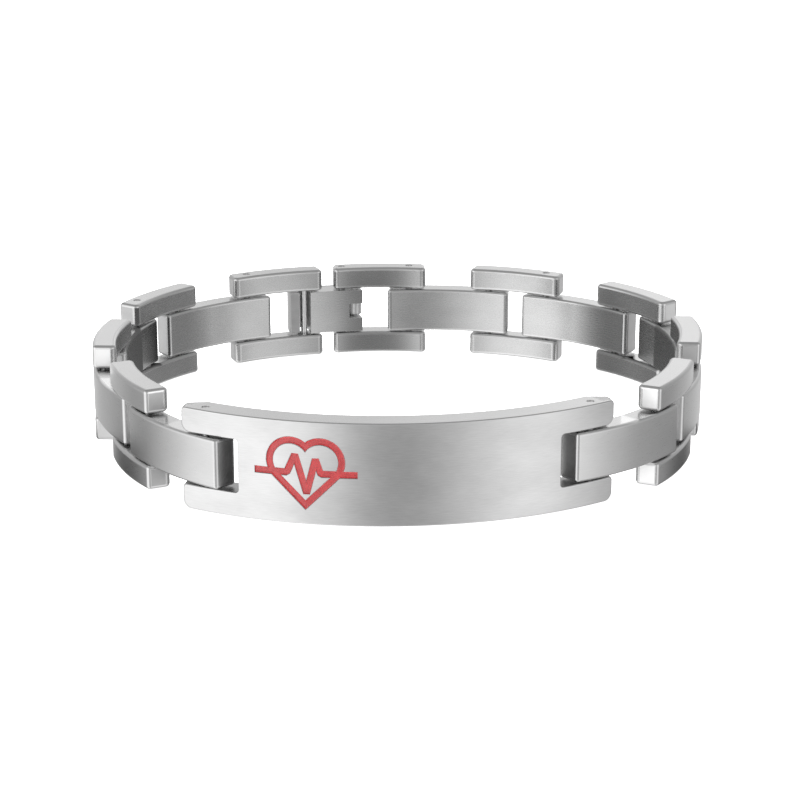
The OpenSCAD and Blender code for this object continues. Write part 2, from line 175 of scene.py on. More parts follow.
class Span:
    """One step of the loop, from pin to pin: X along it, Y outwards, and curved to a circle.

    sink is how far the middle of that circle lies inwards of the step's middle.
    """

    def __init__(self, k, curve):
        a, b = pin_place(k), pin_place(k + 1)
        self.mid = (a + b) / 2
        self.along = Vector((b.x - a.x, b.y - a.y, 0)).normalized()
        self.out = Vector((-self.along.y, self.along.x, 0))
        self.pitch = math.hypot(b.x - a.x, b.y - a.y)
        self.curve = curve
        self.sink = math.sqrt(curve ** 2 - (self.pitch / 2) ** 2)

    def place(self, x, y, z):
        p = self.mid + self.along * x + self.out * y
        return (p.x, p.y, z)

    def turn(self, nx, ny, nz):
        n = self.along * nx + self.out * ny
        return (n.x, n.y, nz)

    def brush(self, x, y, z):
        """Distance along the curve, and the height plus the distance outwards."""
        along = math.atan2(x, y + self.sink)
        return (along * self.curve, z + math.hypot(x, y + self.sink) - self.curve)


def strip_outline(span, past_start, past_end, round_r, ends, cuts):
    """The plan of a curved strip with straight ends, counter-clockwise.

    ends has the finish of both end faces, and cuts is the number of pieces that each long side is cut into.
    """
    sink = span.sink
    inner, outer = span.curve - BAND_T / 2, span.curve + BAND_T / 2
    x0, x1 = -span.pitch / 2 - past_start, span.pitch / 2 + past_end

    def fillet(x, ring):
        """The middle of a corner's circle at x, and its direction from the middle of the strip's circle."""
        y = math.sqrt(ring ** 2 - x ** 2)
        return x, y - sink, math.degrees(math.atan2(y, x))

    ix1, iy1, ia1 = fillet(x1 - round_r, inner + round_r)
    ox1, oy1, oa1 = fillet(x1 - CORNER_R, outer - CORNER_R)
    ox0, oy0, oa0 = fillet(x0 + CORNER_R, outer - CORNER_R)
    ix0, iy0, ia0 = fillet(x0 + round_r, inner + round_r)
    points = arc(ix1, iy1, round_r, ia1 - 180, 0, ROUND_CUTS, INNER)
    points[-1] = points[-1][:4] + (ends[1],)
    points += arc(ox1, oy1, CORNER_R, 0, oa1, CORNER_CUTS, OUTER)
    points += arc(0, -sink, outer, oa1, oa0, cuts, OUTER)
    points += arc(ox0, oy0, CORNER_R, oa0, 180, CORNER_CUTS, OUTER)
    points[-1] = points[-1][:4] + (ends[0],)
    points += arc(ix0, iy0, round_r, 180, ia0 + 180, ROUND_CUTS, INNER)
    points += arc(0, -sink, inner, ia0, ia1, cuts, INNER, outward=-1)
    made = []
    for p in points:
        if made and math.dist(p[:2], made[-1][:2]) < SAME:
            made[-1] = p
        else:
            made.append(p)
    if math.dist(made[0][:2], made[-1][:2]) < SAME:
        made.pop()
    return made


def circle(cx, cy, r):
    """Points round a bore, counter-clockwise."""
    turns = [2 * math.pi * j / HOLE_SIDES for j in range(HOLE_SIDES)]
    return [(cx + r * math.cos(a), cy + r * math.sin(a)) for a in turns]


def pairs(loop):
    """Each point of a closed line with the next one."""
    return zip(loop, loop[1:] + loop[:1])


def quarter_round(ease):
    """Rows (inset, drop, normal outwards, normal upwards) of an eased edge, from flat face to wall."""
    rows = []
    for j in range(EASE_CUTS + 1):
        t = math.radians(90 - 90 * j / EASE_CUTS)
        rows.append((ease * (1 - math.cos(t)), ease * (1 - math.sin(t)), math.cos(t), math.sin(t)))
    return rows


def double_area(a, b, c):
    """Twice a triangle's area in plan, above 0 if it runs counter-clockwise."""
    return (b[0] - a[0]) * (c[1] - a[1]) - (b[1] - a[1]) * (c[0] - a[0])


def between(loops, up):
    """Triangles between plan outlines, counter-clockwise from above, or from below if up is negative."""
    flat = [c for loop in loops for c in loop]
    made = []
    for triangle in tessellate_polygon([[Vector((*c, 0)) for c in loop] for loop in loops]):
        a, b, c = (flat[t] for t in triangle)
        made.append((a, b, c) if double_area(a, b, c) * up > 0 else (a, c, b))
    return made


def hole_bevel(shell, span, hole, z, up):
    """The small bevel where a bore opens in a flat face."""
    rim, throat = circle(*hole[:2], HOLE_R + HOLE_BEVEL), circle(*hole[:2], HOLE_R)
    deep = z - up * HOLE_BEVEL
    for (a, b), (c, d) in zip(pairs(rim), pairs(throat)):
        quad = [span.place(*a, z), span.place(*b, z), span.place(*d, deep), span.place(*c, deep)]
        shell.flat(quad if up > 0 else quad[::-1], EDGE)


def hole_wall(shell, span, hole, z0, z1):
    """A bore's wall in a piece between two heights, with a floor or ceiling where it stops inside."""
    hx, hy, low, high = hole
    bottom = z0 + HOLE_BEVEL if low <= z0 else low
    top = z1 - HOLE_BEVEL if high >= z1 else high
    throat = circle(hx, hy, HOLE_R)

    def corner(p, z):
        return span.place(*p, z), span.turn((hx - p[0]) / HOLE_R, (hy - p[1]) / HOLE_R, 0), (z, 0)

    for a, b in pairs(throat):
        shell.face([corner(b, bottom), corner(a, bottom), corner(a, top), corner(b, top)], END)
    for z, stops, disc in ((bottom, low > z0, throat), (top, high < z1, throat[::-1])):
        if stops:
            shell.flat([span.place(*p, z) for p in disc], END)


def eased_prism(shell, span, outline, z0, z1, ease, holes):
    """A plan outline between two heights, its edges eased. holes has (x, y, from height, to height)."""
    rows = quarter_round(ease)
    rings = [(inset, z0 + drop, out, -up) for inset, drop, out, up in rows]
    rings += [(inset, z1 - drop, out, up) for inset, drop, out, up in reversed(rows)]

    def corner(p, ring):
        inset, z, out, up = ring
        x, y = p[0] - p[2] * inset, p[1] - p[3] * inset
        return span.place(x, y, z), span.turn(p[2] * out, p[3] * out, up), span.brush(x, y, z)

    for j, (ring, upper) in enumerate(zip(rings, rings[1:])):
        for p, q in pairs(outline):
            quad = [corner(p, ring), corner(q, ring), corner(q, upper), corner(p, upper)]
            shell.face(quad, p[4] if j == EASE_CUTS else EDGE)
    for (inset, z, _, _), up in ((rings[0], -1), (rings[-1], 1)):
        loops = [[(p[0] - p[2] * inset, p[1] - p[3] * inset) for p in outline]]
        for hole in holes:
            if hole[2] <= z0 if up < 0 else hole[3] >= z1:
                loops.append(circle(*hole[:2], HOLE_R + HOLE_BEVEL))
                hole_bevel(shell, span, hole, z, up)
        for turned in between(loops, up):
            shell.face([(span.place(x, y, z), (0, 0, up), span.brush(x, y, z)) for x, y in turned], SIDE)
    for hole in holes:
        hole_wall(shell, span, hole, z0, z1)


# Materials: strokes follow the brush map, in millimetres, and mottling the place on the object, in metres
STROKE_SHAPE, STROKE_SCALE, STROKE_ROUGH = (0.42, 5.5, 1.0), 1.6, 0.6
MOTTLE_SHAPE, MOTTLE_SCALE, MOTTLE_ROUGH = (140.0, 140.0, 260.0), 1.0, 0.55
CONTRAST_RANGE, ROUGHNESS_RANGE = (0.3, 0.7), (0.25, 0.75)
STROKE_RELIEF, ENAMEL_RELIEF = 0.00002, 0.00005
GRAIN_SCALE = 900.0
ENAMEL_DARK, ENAMEL_LIGHT = (0.26, 0.010, 0.013, 1), (0.50, 0.035, 0.038, 1)


def grey(level):
    return (level, level, level, 1)


def nodes_of(name):
    m = bpy.data.materials.new(name)
    m.use_nodes = True
    tree = m.node_tree
    return m, tree, tree.nodes["Principled BSDF"]


def feed(tree, node, inputs):
    """Links the sockets that are given and sets the plain values."""
    for k, v in inputs.items():
        if isinstance(v, bpy.types.NodeSocket):
            tree.links.new(v, node.inputs[k])
        else:
            node.inputs[k].default_value = v


def add(tree, kind, inputs=None, **values):
    node = tree.nodes.new(kind)
    for k, v in values.items():
        setattr(node, k, v)
    feed(tree, node, inputs or {})
    return node


def noise(tree, place, scale, rough=0.5):
    inputs = {"Vector": place, "Scale": scale, "Detail": 3.0, "Roughness": rough}
    return add(tree, "ShaderNodeTexNoise", inputs).outputs["Fac"]


def map_range(tree, value, given, wanted):
    """A value brought from one range (low, high) to another, and kept in it."""
    ends = {"From Min": given[0], "From Max": given[1], "To Min": wanted[0], "To Max": wanted[1]}
    return add(tree, "ShaderNodeMapRange", {"Value": value, **ends}, clamp=True).outputs[0]


def calculate(tree, operation, a, b):
    return add(tree, "ShaderNodeMath", {0: a, 1: b}, operation=operation).outputs[0]


def mix_colour(tree, share, first, second):
    """Two colours mixed. The node's colour sockets are inputs 6 and 7 and output 2."""
    return add(tree, "ShaderNodeMix", {0: share, 6: first, 7: second}, data_type="RGBA").outputs[2]


def steel(name, level, rough, rough_spread, anisotropy, streak, cloud, bump):
    """Steel with fine strokes along the piece: streak is their contrast, cloud that of the wider mottling."""
    m, tree, shader = nodes_of(name)
    brush = add(tree, "ShaderNodeUVMap", uv_map="brush").outputs["UV"]
    place = add(tree, "ShaderNodeTexCoord").outputs["Object"]
    strokes = add(tree, "ShaderNodeMapping", {"Vector": brush, "Scale": STROKE_SHAPE}).outputs["Vector"]
    fine = noise(tree, strokes, STROKE_SCALE, STROKE_ROUGH)
    patches = add(tree, "ShaderNodeMapping", {"Vector": place, "Scale": MOTTLE_SHAPE}).outputs["Vector"]
    wide = noise(tree, patches, MOTTLE_SCALE, MOTTLE_ROUGH)
    streaks = map_range(tree, fine, CONTRAST_RANGE, (1.0 - streak, 1.0))
    clouds = map_range(tree, wide, CONTRAST_RANGE, (1.0 - cloud, 1.0))
    tint = {"Vector": (level, level, level), "Scale": calculate(tree, "MULTIPLY", streaks, clouds)}
    relief = {"Height": fine, "Strength": bump, "Distance": STROKE_RELIEF}
    feed(tree, shader, {
        "Base Color": add(tree, "ShaderNodeVectorMath", tint, operation="SCALE").outputs[0],
        "Roughness": map_range(tree, fine, ROUGHNESS_RANGE, (rough - rough_spread, rough + rough_spread)),
        "Metallic": 1.0,
        "Anisotropic": anisotropy,
        "Normal": add(tree, "ShaderNodeBump", relief).outputs[0],
    })
    if anisotropy:
        tangent = add(tree, "ShaderNodeTangent", direction_type="UV_MAP", uv_map="brush").outputs[0]
        feed(tree, shader, {"Anisotropic Rotation": 0.25, "Tangent": tangent})
    return m


# Name, brightness, roughness and its spread, anisotropy, contrast of strokes and of mottling, and relief
brushed = steel("steel_brushed", 0.70, 0.30, 0.04, 0.6, 0.06, 0.07, 0.05)
plate_front = steel("steel_plate", 0.75, 0.32, 0.04, 0.65, 0.10, 0.12, 0.08)
# Inner faces: a satin finish, and darker than the outer steel as painted shade of the loop's inside.
satin_painted_shade = steel("steel_satin_painted_shade", 0.62, 0.27, 0.03, 0.4, 0.04, 0.10, 0.04)
polished = steel("steel_polished", 0.92, 0.40, 0.05, 0.0, 0.03, 0.12, 0.05)
side_steel = steel("steel_side", 0.74, 0.24, 0.04, 0.3, 0.04, 0.05, 0.1)
edge_steel = steel("steel_edge", 0.72, 0.30, 0.03, 0.0, 0.02, 0.02, 0.0)
# Recesses and a few end faces: rougher and more mottled, and darker as painted shade.
recess_painted_shade = steel("steel_recess_painted_shade", 0.58, 0.36, 0.05, 0.0, 0.1, 0.3, 0.1)
pin_end = steel("steel_pin", 0.80, 0.22, 0.03, 0.0, 0.02, 0.04, 0.0)
STEEL = [brushed, satin_painted_shade, polished, side_steel, edge_steel, recess_painted_shade]
PLATE_STEEL = [plate_front] + STEEL[1:]


def enamel_look():
    m, tree, shader = nodes_of("enamel_red")
    place = add(tree, "ShaderNodeTexCoord").outputs["Object"]
    grain = noise(tree, place, GRAIN_SCALE)
    relief = {"Height": grain, "Strength": 0.3, "Distance": ENAMEL_RELIEF}
    feed(tree, shader, {
        "Base Color": mix_colour(tree, grain, ENAMEL_DARK, ENAMEL_LIGHT),
        "Roughness": 0.22,
        "Coat Weight": 0.6,
        "Coat Roughness": 0.08,
        "Normal": add(tree, "ShaderNodeBump", relief).outputs[0],
    })
    return m


enamel = enamel_look()


# Centre links and bars
def bar_holes(k, half, part, low, high):
    """Bores of a bar: right through where the pin's end shows, or else to just past that end."""
    holes = []
    for x, pin in ((-half, k), (half, k + 1)):
        pin_low, pin_high = node_box(f"link_pin_{pin % PINS + 1}")
        if part == "upper":
            through = pin_high.z > high.z - PIN_SHOWS
            holes.append((x, 0, low.z, high.z if through else pin_high.z + PIN_ROOM))
        else:
            through = pin_low.z < low.z + PIN_SHOWS
            holes.append((x, 0, low.z if through else pin_low.z - PIN_ROOM, high.z))
    return holes


link_low, link_high = node_box("centre_link_1")
for number, k in enumerate(LINK_STEPS, 1):
    span = Span(k, LINK_CURVE)
    half = span.pitch / 2
    # Link ends inside the plate's forks take the recess steel, darkened as painted shade.
    ends = (RECESS if k == 0 else END, RECESS if k == PINS - 2 else END)
    outline = strip_outline(span, LINK_PAST, LINK_PAST, LINK_ROUND, ends, LINK_CUTS)
    holes = [(x, 0, link_low.z, link_high.z) for x in (-half, half)]
    shell = Shell()
    eased_prism(shell, span, outline, link_low.z, link_high.z, LINK_EASE, holes)
    name = f"centre_link_{number}"
    add_piece(f"steel_{name}", shell.mesh(name), STEEL, "bracelet", name)

for number, k in enumerate(PAIR_STEPS, 1):
    span = Span(k, BAR_CURVE)
    past_start = BAR_PAST - (CLASP_SHIFT if k == CLASP_PAIR else 0)
    # Some start faces take the recess steel, darkened as painted shade.
    ends = (RECESS if k in SHADED_STARTS else END, END)
    outline = strip_outline(span, past_start, BAR_PAST, BAR_ROUND, ends, BAR_CUTS)
    for part in ("upper", "lower"):
        name = f"bar_{part}_{number}"
        low, high = node_box(name)
        holes = bar_holes(k, span.pitch / 2, part, low, high)
        shell = Shell()
        eased_prism(shell, span, outline, low.z, high.z, BAR_EASE, holes)
        add_piece(f"steel_{name}", shell.mesh(name), STEEL, "bracelet", name)


# Pins, with slightly domed ends
def turned_pin(node):
    low, high = node_box(node)
    cx, cy = (low.x + high.x) / 2, (low.y + high.y) / 2
    r = (high.x - low.x) / 2
    profile = [(0, 1.0, 0)] + [(r - inset, up, drop) for inset, drop, _, up in quarter_round(PIN_DOME)]
    rows = [(ring_r, high.z - drop, up) for ring_r, up, drop in profile]
    rows += [(ring_r, low.z + drop, -up) for ring_r, up, drop in reversed(profile)]

    def corner(row, i):
        ring_r, z, up = row
        a = 2 * math.pi * i / PIN_SIDES
        out = math.sqrt(max(0, 1 - up * up))
        c, s = math.cos(a), math.sin(a)
        return (cx + ring_r * c, cy + ring_r * s, z), (out * c, out * s, up), (z, a * r)

    shell = Shell()
    for row, lower in zip(rows, rows[1:]):
        for i in range(PIN_SIDES):
            shell.face([corner(row, i + 1), corner(row, i), corner(lower, i), corner(lower, i + 1)], OUTER)
    add_piece(f"steel_{node}", shell.mesh(node), [pin_end], "bracelet", node)


for i in range(1, PINS + 1):
    turned_pin(f"link_pin_{i}")
turned_pin("clasp_hinge_pin")


# Identity plate: s along its outer face from its middle, z up, and depth from its outer face inwards
plate_low, plate_high = node_box("id_plate")
right_pin, left_pin = pin_place(PINS - 1), pin_place(0)
plate_half_pitch = (right_pin.x - left_pin.x) / 2
plate_mid_x = (right_pin.x + left_pin.x) / 2
plate_mid_y = right_pin.y + math.sqrt(PLATE_CURVE ** 2 - plate_half_pitch ** 2)
plate_mid_z = (plate_low.z + plate_high.z) / 2
fork_low, fork_high = link_low.z - FORK_CLEAR, link_high.z + FORK_CLEAR
PLATE_R = PLATE_CURVE + PLATE_SKIN
PIN_ANGLE = math.asin(plate_half_pitch / PLATE_CURVE)
END_ANGLE = PIN_ANGLE + PLATE_PAST / PLATE_CURVE

# Where the plate ends, where its pins are and where its forks begin, as s
S_END = PLATE_R * END_ANGLE
S_PIN = PLATE_R * PIN_ANGLE
S_SLOT = PLATE_R * (PIN_ANGLE - math.asin((LINK_PAST + FORK_GAP) / PLATE_R))
# Between these the way inwards turns to that of the end face, and in the last END_REACH normals have turned
TURN_FROM, TURN_TO, END_REACH = S_PIN + 0.8, S_END - 0.9, 0.3
# Half the length of the side face that a bore cuts
BORE_HALF = 0.6
# Sides longer than LONG_SIDE are cut at even steps, but not nearer to a corner than CUT_CLEAR
LONG_SIDE, CUT_STEP, CUT_COUNT, CUT_CLEAR = 0.3, 0.75, 33, 0.1
# The upright part of a wall's normal, above which it counts as a side face, and as partly one
SIDEWAYS, PARTLY_SIDEWAYS = 0.7, 0.5
# Faces further than this from the plate's lower and upper edge are the fork's
FORK_INSET = 0.5
# How near the floor of a fork the inner face leans as that floor does
BACK_NEAR = 0.3


def way_in(s):
    """The angle of the way inwards from s: to the middle of the circle, but as the end face near an end."""
    a = s / PLATE_R
    share = min(1.0, max(0.0, (abs(s) - TURN_FROM) / (TURN_TO - TURN_FROM)))
    return a + share * (math.copysign(END_TURN, s) - a)


def on_plate(s, z, depth, lean=None):
    """A point under s and z on the outer face, this far inwards. lean is the angle of the way inwards."""
    a = s / PLATE_R
    b = way_in(s) if lean is None else lean
    run = depth
    # Along a way that turns, the point lies on the circle that is this far inwards.
    if lean is None and b != a:
        across = PLATE_R * math.cos(a - b)
        run = across - math.sqrt(across ** 2 - PLATE_R ** 2 + (PLATE_R - depth) ** 2)
    return (plate_mid_x + PLATE_R * math.sin(a) - run * math.sin(b),
            plate_mid_y - PLATE_R * math.cos(a) + run * math.cos(b), z)


def plate_turn(s, ns, nz, outwards):
    """A normal at s, from its parts along the plate, upwards and outwards."""
    a = s / PLATE_R
    at_end = abs(s) > S_END - END_REACH and ns * s > 0
    b = math.copysign(END_TURN, s) if at_end else a
    return (ns * math.cos(b) + outwards * math.sin(a), ns * math.sin(b) - outwards * math.cos(a), nz)


def rounded(corners):
    """Points (s, z, normal s, normal z) round a polygon with sides along s and z and rounded corners."""
    made = []
    count = len(corners)
    for i in range(count):
        s, z, r = corners[i]
        before, after = corners[i - 1], corners[(i + 1) % count]
        d0 = Vector((s - before[0], z - before[1])).normalized()
        d1 = Vector((after[0] - s, after[1] - z)).normalized()
        sign = 1 if d0.x * d1.y - d0.y * d1.x > 0 else -1
        n0, n1 = Vector((d0.y, -d0.x)), Vector((d1.y, -d1.x))
        centre = Vector((s, z)) - r * d0 - sign * r * n0
        for j in range(HORN_CUTS + 1):
            t = math.pi / 2 * j / HORN_CUTS
            n = n0 * math.cos(t) + n1 * math.sin(t)
            p = centre + sign * r * n
            made.append((p.x, p.y, n.x, n.y))
    return made


def cut_sides(outline):
    """The outline with its long sides cut at both ends of each bore and at even steps between."""
    cuts = [S_PIN - BORE_HALF, S_PIN + BORE_HALF, -S_PIN - BORE_HALF, -S_PIN + BORE_HALF]
    cuts += [CUT_STEP * j for j in range(-CUT_COUNT, CUT_COUNT + 1)]
    made = []
    for p, q in pairs(outline):
        made.append(p)
        if abs(p[1] - q[1]) < TINY and abs(p[0] - q[0]) > LONG_SIDE:
            low_s, high_s = sorted((p[0], q[0]))
            for c in sorted(cuts, reverse=q[0] < p[0]):
                in_bore = S_PIN - BORE_HALF + TINY < abs(c) < S_PIN + BORE_HALF - TINY
                if low_s + CUT_CLEAR < c < high_s - CUT_CLEAR and not in_bore:
                    made.append((c, *p[1:]))
    return made


right_end = [(S_END, plate_low.z, HORN_LOW), (S_END, fork_low, HORN_TOP), (S_SLOT, fork_low, FORK_ROUND),
             (S_SLOT, fork_high, FORK_ROUND), (S_END, fork_high, HORN_LOW), (S_END, plate_high.z, HORN_TOP)]
left_end = [(-s, z, r) for s, z, r in reversed(right_end)]
plate_outline = cut_sides(rounded(right_end + left_end))

# The rounded inner corner, in a frame that is turned to the end face
END_SIN, END_COS = math.sin(END_TURN), math.cos(END_TURN)
ROUND_X = PLATE_R * math.sin(END_ANGLE - END_TURN) - PLATE_ROUND
ROUND_Y = math.sqrt((PLATE_R - PLATE_T + PLATE_ROUND) ** 2 - ROUND_X ** 2)
ROUND_MIDDLE = Vector((ROUND_X, ROUND_Y))


def in_end_frame(s, depth):
    """A point of the plate in that frame, from the middle of the plate's circle."""
    x, y, _ = on_plate(s, 0, depth)
    x, y = x - plate_mid_x, plate_mid_y - y
    return Vector((x * END_COS - y * END_SIN, x * END_SIN + y * END_COS))


def back_rise(s):
    """How far the rounded inner corner lifts the inner face at s, and its normal there, or None beside it."""
    full = in_end_frame(abs(s), PLATE_T)
    if math.atan2(full.x, full.y) <= math.atan2(ROUND_X, ROUND_Y):
        return 0.0, None
    start = in_end_frame(abs(s), 0)
    way = (full - start).normalized()
    off = start - ROUND_MIDDLE
    # The way inwards leaves the metal where it meets the corner's circle.
    run = -off.dot(way) + math.sqrt(max(0.0, off.dot(way) ** 2 - off.dot(off) + PLATE_ROUND ** 2))
    hit = start + run * way
    n = (hit - ROUND_MIDDLE) / PLATE_ROUND
    normal = (math.copysign(1, s) * (n.x * END_COS + n.y * END_SIN), n.x * END_SIN - n.y * END_COS, 0)
    return PLATE_T - (PLATE_R - hit.length), normal


def floor_lean(s, z, near):
    """The way inwards near a fork's floor, which stands square to the link, or None elsewhere."""
    at_floor = abs(abs(s) - S_SLOT) < FORK_ROUND + near and fork_low - near < z < fork_high + near
    return math.copysign(PIN_ANGLE, s) if at_floor else None


def wall_finish(p, q):
    """The finish of the wall between two points of the outline: in the fork the recess steel, darkened as
    painted shade, but not on its ends.
    """
    low, high = min(p[1], q[1]), max(p[1], q[1])
    if plate_low.z + FORK_INSET < low and high < plate_high.z - FORK_INSET and abs(p[0]) < S_END - NEAR:
        # Fork walls take the recess steel, darkened as painted shade.
        return RECESS
    return SIDE if abs(p[3]) > SIDEWAYS else END


def plate_rim(shell):
    """Eased edges and walls of the plate, from its outer face to its inner face."""
    rows = quarter_round(PLATE_EASE)
    rings = [(*row, False) for row in rows]
    rings += [(inset, drop, out, -up, True) for inset, drop, out, up in reversed(rows)]

    def corner(p, ring):
        inset, drop, out, outwards, back = ring
        s, z = p[0] - p[2] * inset, p[1] - p[3] * inset
        lean = floor_lean(p[0], p[1], NEAR)
        normal = plate_turn(s, p[2] * out, p[3] * out, outwards)
        if not back:
            return on_plate(s, z, drop, lean), normal, (s, z - drop)
        rise, round_normal = back_rise(s)
        depth = PLATE_T - max(drop, rise)
        if rise > drop:
            both = (Vector(normal) + Vector(round_normal)).normalized()
            normal = tuple(both) if abs(p[3]) > PARTLY_SIDEWAYS else round_normal
        return on_plate(s, z, depth, lean), normal, (s, z + depth)

    bored = []
    for j, (ring, deeper) in enumerate(zip(rings, rings[1:])):
        for p, q in pairs(plate_outline):
            quad = [corner(p, deeper), corner(q, deeper), corner(q, ring), corner(p, ring)]
            if j != EASE_CUTS:
                shell.face(quad, EDGE)
            elif abs(p[1] - q[1]) < TINY and abs(abs(p[0] + q[0]) / 2 - S_PIN) < NEAR:
                bored.append((quad, p[1], p[3]))
            else:
                shell.face(quad, wall_finish(p, q))
    for quad, z, up in bored:
        corners = [place[:2] for place, _, _ in reversed(quad)]
        pin = right_pin if corners[0][0] > plate_mid_x else left_pin
        for turned in between([corners, circle(pin.x, pin.y, HOLE_R)], up):
            shell.face([((x, y, z), (0, 0, math.copysign(1, up)), (x, y)) for x, y in turned], SIDE)


def plate_bores(shell):
    """Walls of the bores for both pins, above and below the forks."""
    for pin in (right_pin, left_pin):
        def corner(p, z):
            return (*p, z), ((pin.x - p[0]) / HOLE_R, (pin.y - p[1]) / HOLE_R, 0), (z, 0)

        for low, high in ((plate_low.z, fork_low), (fork_high, plate_high.z)):
            for a, b in pairs(circle(pin.x, pin.y, HOLE_R)):
                shell.face([corner(b, low), corner(a, low), corner(a, high), corner(b, high)], END)


# The motif: a heart's outline crossed by a pulse line
lobe = HEART_W / (2 + math.sqrt(2))
lobe_side = lobe / math.sqrt(2)
heart_low = (lobe_side + lobe - lobe * math.sqrt(2)) / 2
# Corners of the pulse line, in shares of half its width and of its height
BEAT = [(-1, 0), (-0.36, 0), (-0.2, 0.45), (0.02, -0.5), (0.2, 0.36), (0.3, 0), (1, 0)]


def heart_loop(g):
    """The heart's middle line, moved outwards by g."""
    r = lobe + g
    first, last = -math.pi / 4, math.acos(-lobe_side / r)
    turns = [first + (last - first) * j / LOBE_CUTS for j in range(LOBE_CUTS + 1)]
    side = [(lobe_side + r * math.cos(a), lobe_side + r * math.sin(a)) for a in turns]
    return [(0, -r * math.sqrt(2))] + side + [(-x, y) for x, y in reversed(side[:-1])]


def pulse_loop(w):
    """Outline of the pulse line, w wide."""
    pts = [Vector((a * PULSE_W / 2, b * PULSE_H)) for a, b in BEAT]
    normals = []
    for a, b in zip(pts, pts[1:]):
        d = (b - a).normalized()
        normals.append(Vector((-d.y, d.x)))
    sides = {1: [], -1: []}
    for i, p in enumerate(pts):
        n0, n1 = normals[max(i - 1, 0)], normals[min(i, len(normals) - 1)]
        for side in (1, -1):
            bend = (n0.x * n1.y - n0.y * n1.x) * side
            if bend < 0:
                sides[side] += [p + side * w / 2 * n0, p + side * w / 2 * n1]
            else:
                sides[side].append(p + side * w / 2 * (n0 + n1) / (1 + n0.dot(n1)))
    return [tuple(v) for v in sides[-1]] + [tuple(v) for v in reversed(sides[1])]


def motif_loops(w):
    """The heart's outer and inner outline and the pulse line's outline, on the plate."""
    def put(x, y):
        return (-MOTIF_OFF + PLATE_R * math.asin(x / PLATE_R), plate_mid_z + y)
    return [[put(x, y - heart_low) for x, y in heart_loop(w / 2)],
            [put(x, y - heart_low) for x, y in heart_loop(-w / 2)],
            [put(x, y) for x, y in pulse_loop(w)]]


def inside(p, loop):
    """Whether a point lies inside a closed outline."""
    hit = False
    for (ax, ay), (bx, by) in pairs(loop):
        if (ay > p[1]) != (by > p[1]) and p[0] < ax + (p[1] - ay) * (bx - ax) / (by - ay):
            hit = not hit
    return hit


def in_motif(p, loops):
    return (inside(p, loops[0]) and not inside(p, loops[1])) or inside(p, loops[2])


# Extra points that keep the plate's faces curved: steps along it and up it, and distances from its ends
GRID_S, GRID_Z, GRID_COLUMNS, GRID_ROWS = 0.8, 1.5, 61, 7
END_DISTANCES, END_Z = (0.26, 0.35, 0.5, 0.7, 0.95, 1.25, 1.6, 2.05, 2.5, 3.0, 3.6), 1.4
# How far these points stay from the motif's edge
GRID_CLEAR = 0.25
# Smallest length and double area that triangles between outlines may have
MERGE, NO_AREA = 1e-5, 1e-9


def grid_points(columns, step_z):
    return [(s, plate_low.z + step_z * j) for s in columns for j in range(1, GRID_ROWS + 1)]


def filled(loops, seeds=()):
    """Triangles between outlines: points and triangles, counter-clockwise."""
    points, edges = [], []
    for loop in loops:
        start = len(points)
        points += [Vector(p) for p in loop]
        edges += [(start + i, start + (i + 1) % len(loop)) for i in range(len(loop))]
    points += [Vector(p) for p in seeds]
    verts, _, faces, *_ = delaunay_2d_cdt(points, edges, [], 0, MERGE)
    made = []
    for f in faces:
        area = double_area(*(verts[i] for i in f))
        if abs(area) > NO_AREA:
            made.append(tuple(f) if area > 0 else (f[0], f[2], f[1]))
    return [tuple(v) for v in verts], made


def middle_of(verts, face):
    return tuple(sum(verts[i][c] for i in face) / 3 for c in (0, 1))


def edges_of(faces):
    """The face that each directed edge belongs to."""
    return {edge: f for f in faces for edge in pairs(f)}


def outer_face(shell, rim, grid):
    """The plate's outer face, with the motif engraved and its edges eased."""
    clear, wide, narrow = (motif_loops(LINE_W + 2 * more) for more in (GRID_CLEAR, ENGRAVE_EASE, 0))
    seeds = [p for p in grid if inside(p, rim) and not in_motif(p, clear)]
    verts, faces = filled([rim] + wide + narrow, seeds)
    kinds = {}
    for f in faces:
        mid = middle_of(verts, f)
        if inside(mid, rim):
            kinds[f] = "floor" if in_motif(mid, narrow) else "ease" if in_motif(mid, wide) else "face"
    deep = {i for f, kind in kinds.items() if kind == "floor" for i in f}
    owner = edges_of(kinds)

    def at(i, depth):
        return on_plate(*verts[i], depth)

    def corners(f, depth):
        return [(at(i, depth), plate_turn(verts[i][0], 0, 0, 1), verts[i]) for i in f]

    for f, kind in kinds.items():
        if kind == "floor":
            shell.face(corners(f, ENGRAVE_DEEP), END)
            for a, b in pairs(f):
                if kinds.get(owner.get((b, a))) != "floor":
                    shell.flat([at(b, ENGRAVE_EASE), at(a, ENGRAVE_EASE),
                                at(a, ENGRAVE_DEEP), at(b, ENGRAVE_DEEP)], END)
        elif kind == "ease":
            shell.flat([at(i, ENGRAVE_EASE if i in deep else 0.0) for i in f], EDGE)
        else:
            shell.face(corners(f, 0), OUTER)


def inner_face(shell, rim, grid):
    """The plate's inner face, lifted by the rounded corner at both ends."""
    near_ends = grid_points([side * (S_END - d) for side in (-1, 1) for d in END_DISTANCES], END_Z)
    verts, faces = filled([rim], [p for p in grid + near_ends if inside(p, rim)])
    for f in faces:
        if inside(middle_of(verts, f), rim):
            corners = []
            for i in f:
                s, z = verts[i]
                rise, round_normal = back_rise(s)
                on_rim = any(math.dist((s, z), r) < SAME for r in rim)
                lean = floor_lean(s, z, BACK_NEAR) if on_rim else None
                normal = round_normal or plate_turn(s, 0, 0, -1)
                corners.append((on_plate(s, z, PLATE_T - rise, lean), normal, (s, z)))
            shell.face(corners[::-1], INNER)


